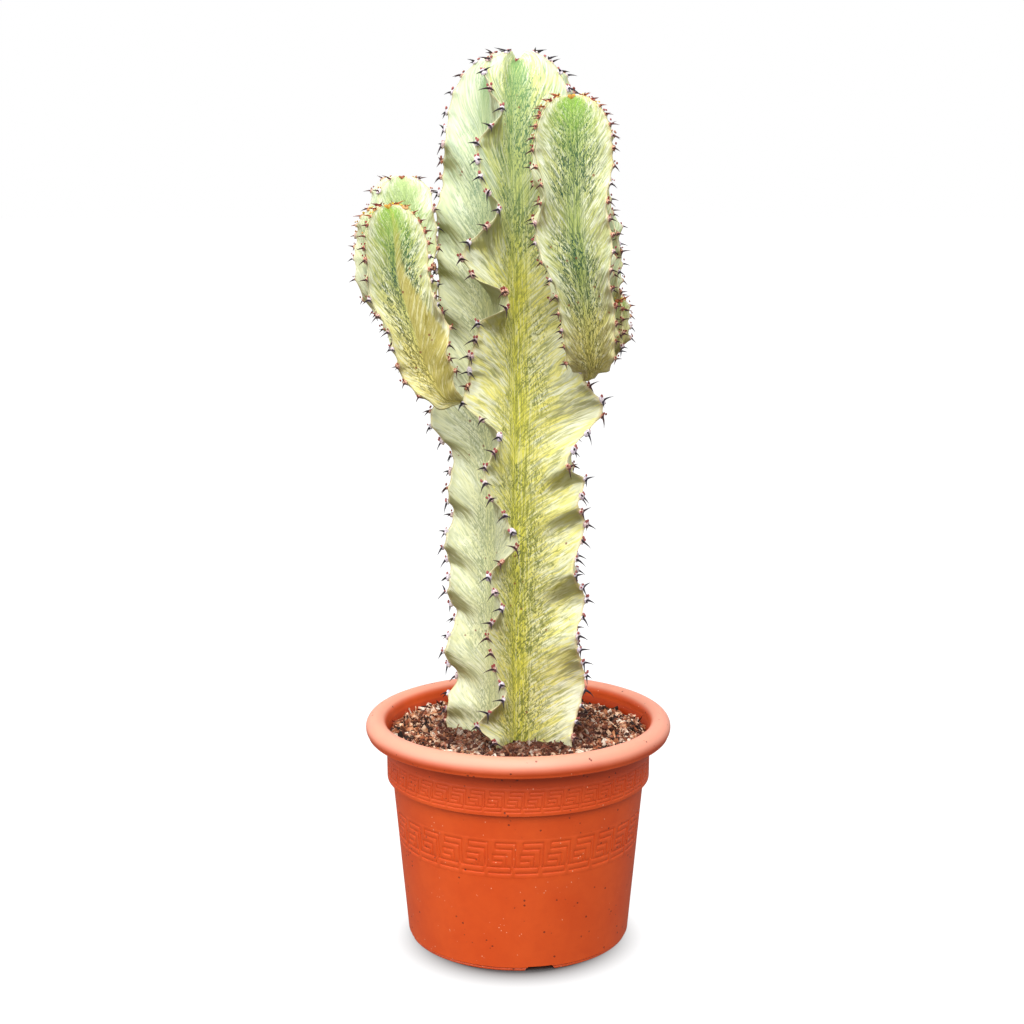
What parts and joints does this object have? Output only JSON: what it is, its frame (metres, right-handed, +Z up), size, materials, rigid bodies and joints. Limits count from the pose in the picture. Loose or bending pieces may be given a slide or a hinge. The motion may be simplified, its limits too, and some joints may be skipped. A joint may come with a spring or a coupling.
{
  "type": "potted euphorbia",
  "caption": "Columnar succulent with waved, spiny ribs and upright side stems, standing in soil in a tapered plastic pot with a rolled rim.",
  "frame": {"origin": "axis of the pot, on the plane its foot stands on", "axes": "+Z up along the column, -Y towards the front of the plant, +X to its right seen from the front"},
  "size_m": [0.2448, 0.2398, 0.689],
  "materials": {
    "terracotta_plastic": "satin",
    "potting_soil": "matte",
    "stem_skin": "satin",
    "side_stem_skin": "satin"
  },
  "bodies": {
    "root": {"pot": "terracotta_plastic", "soil": "potting_soil", "column": "stem_skin", "arm_left_front": "side_stem_skin", "arm_left_back": "side_stem_skin", "arm_right_front": "side_stem_skin", "arm_right_back": "side_stem_skin"}
  },
  "joints": []
}
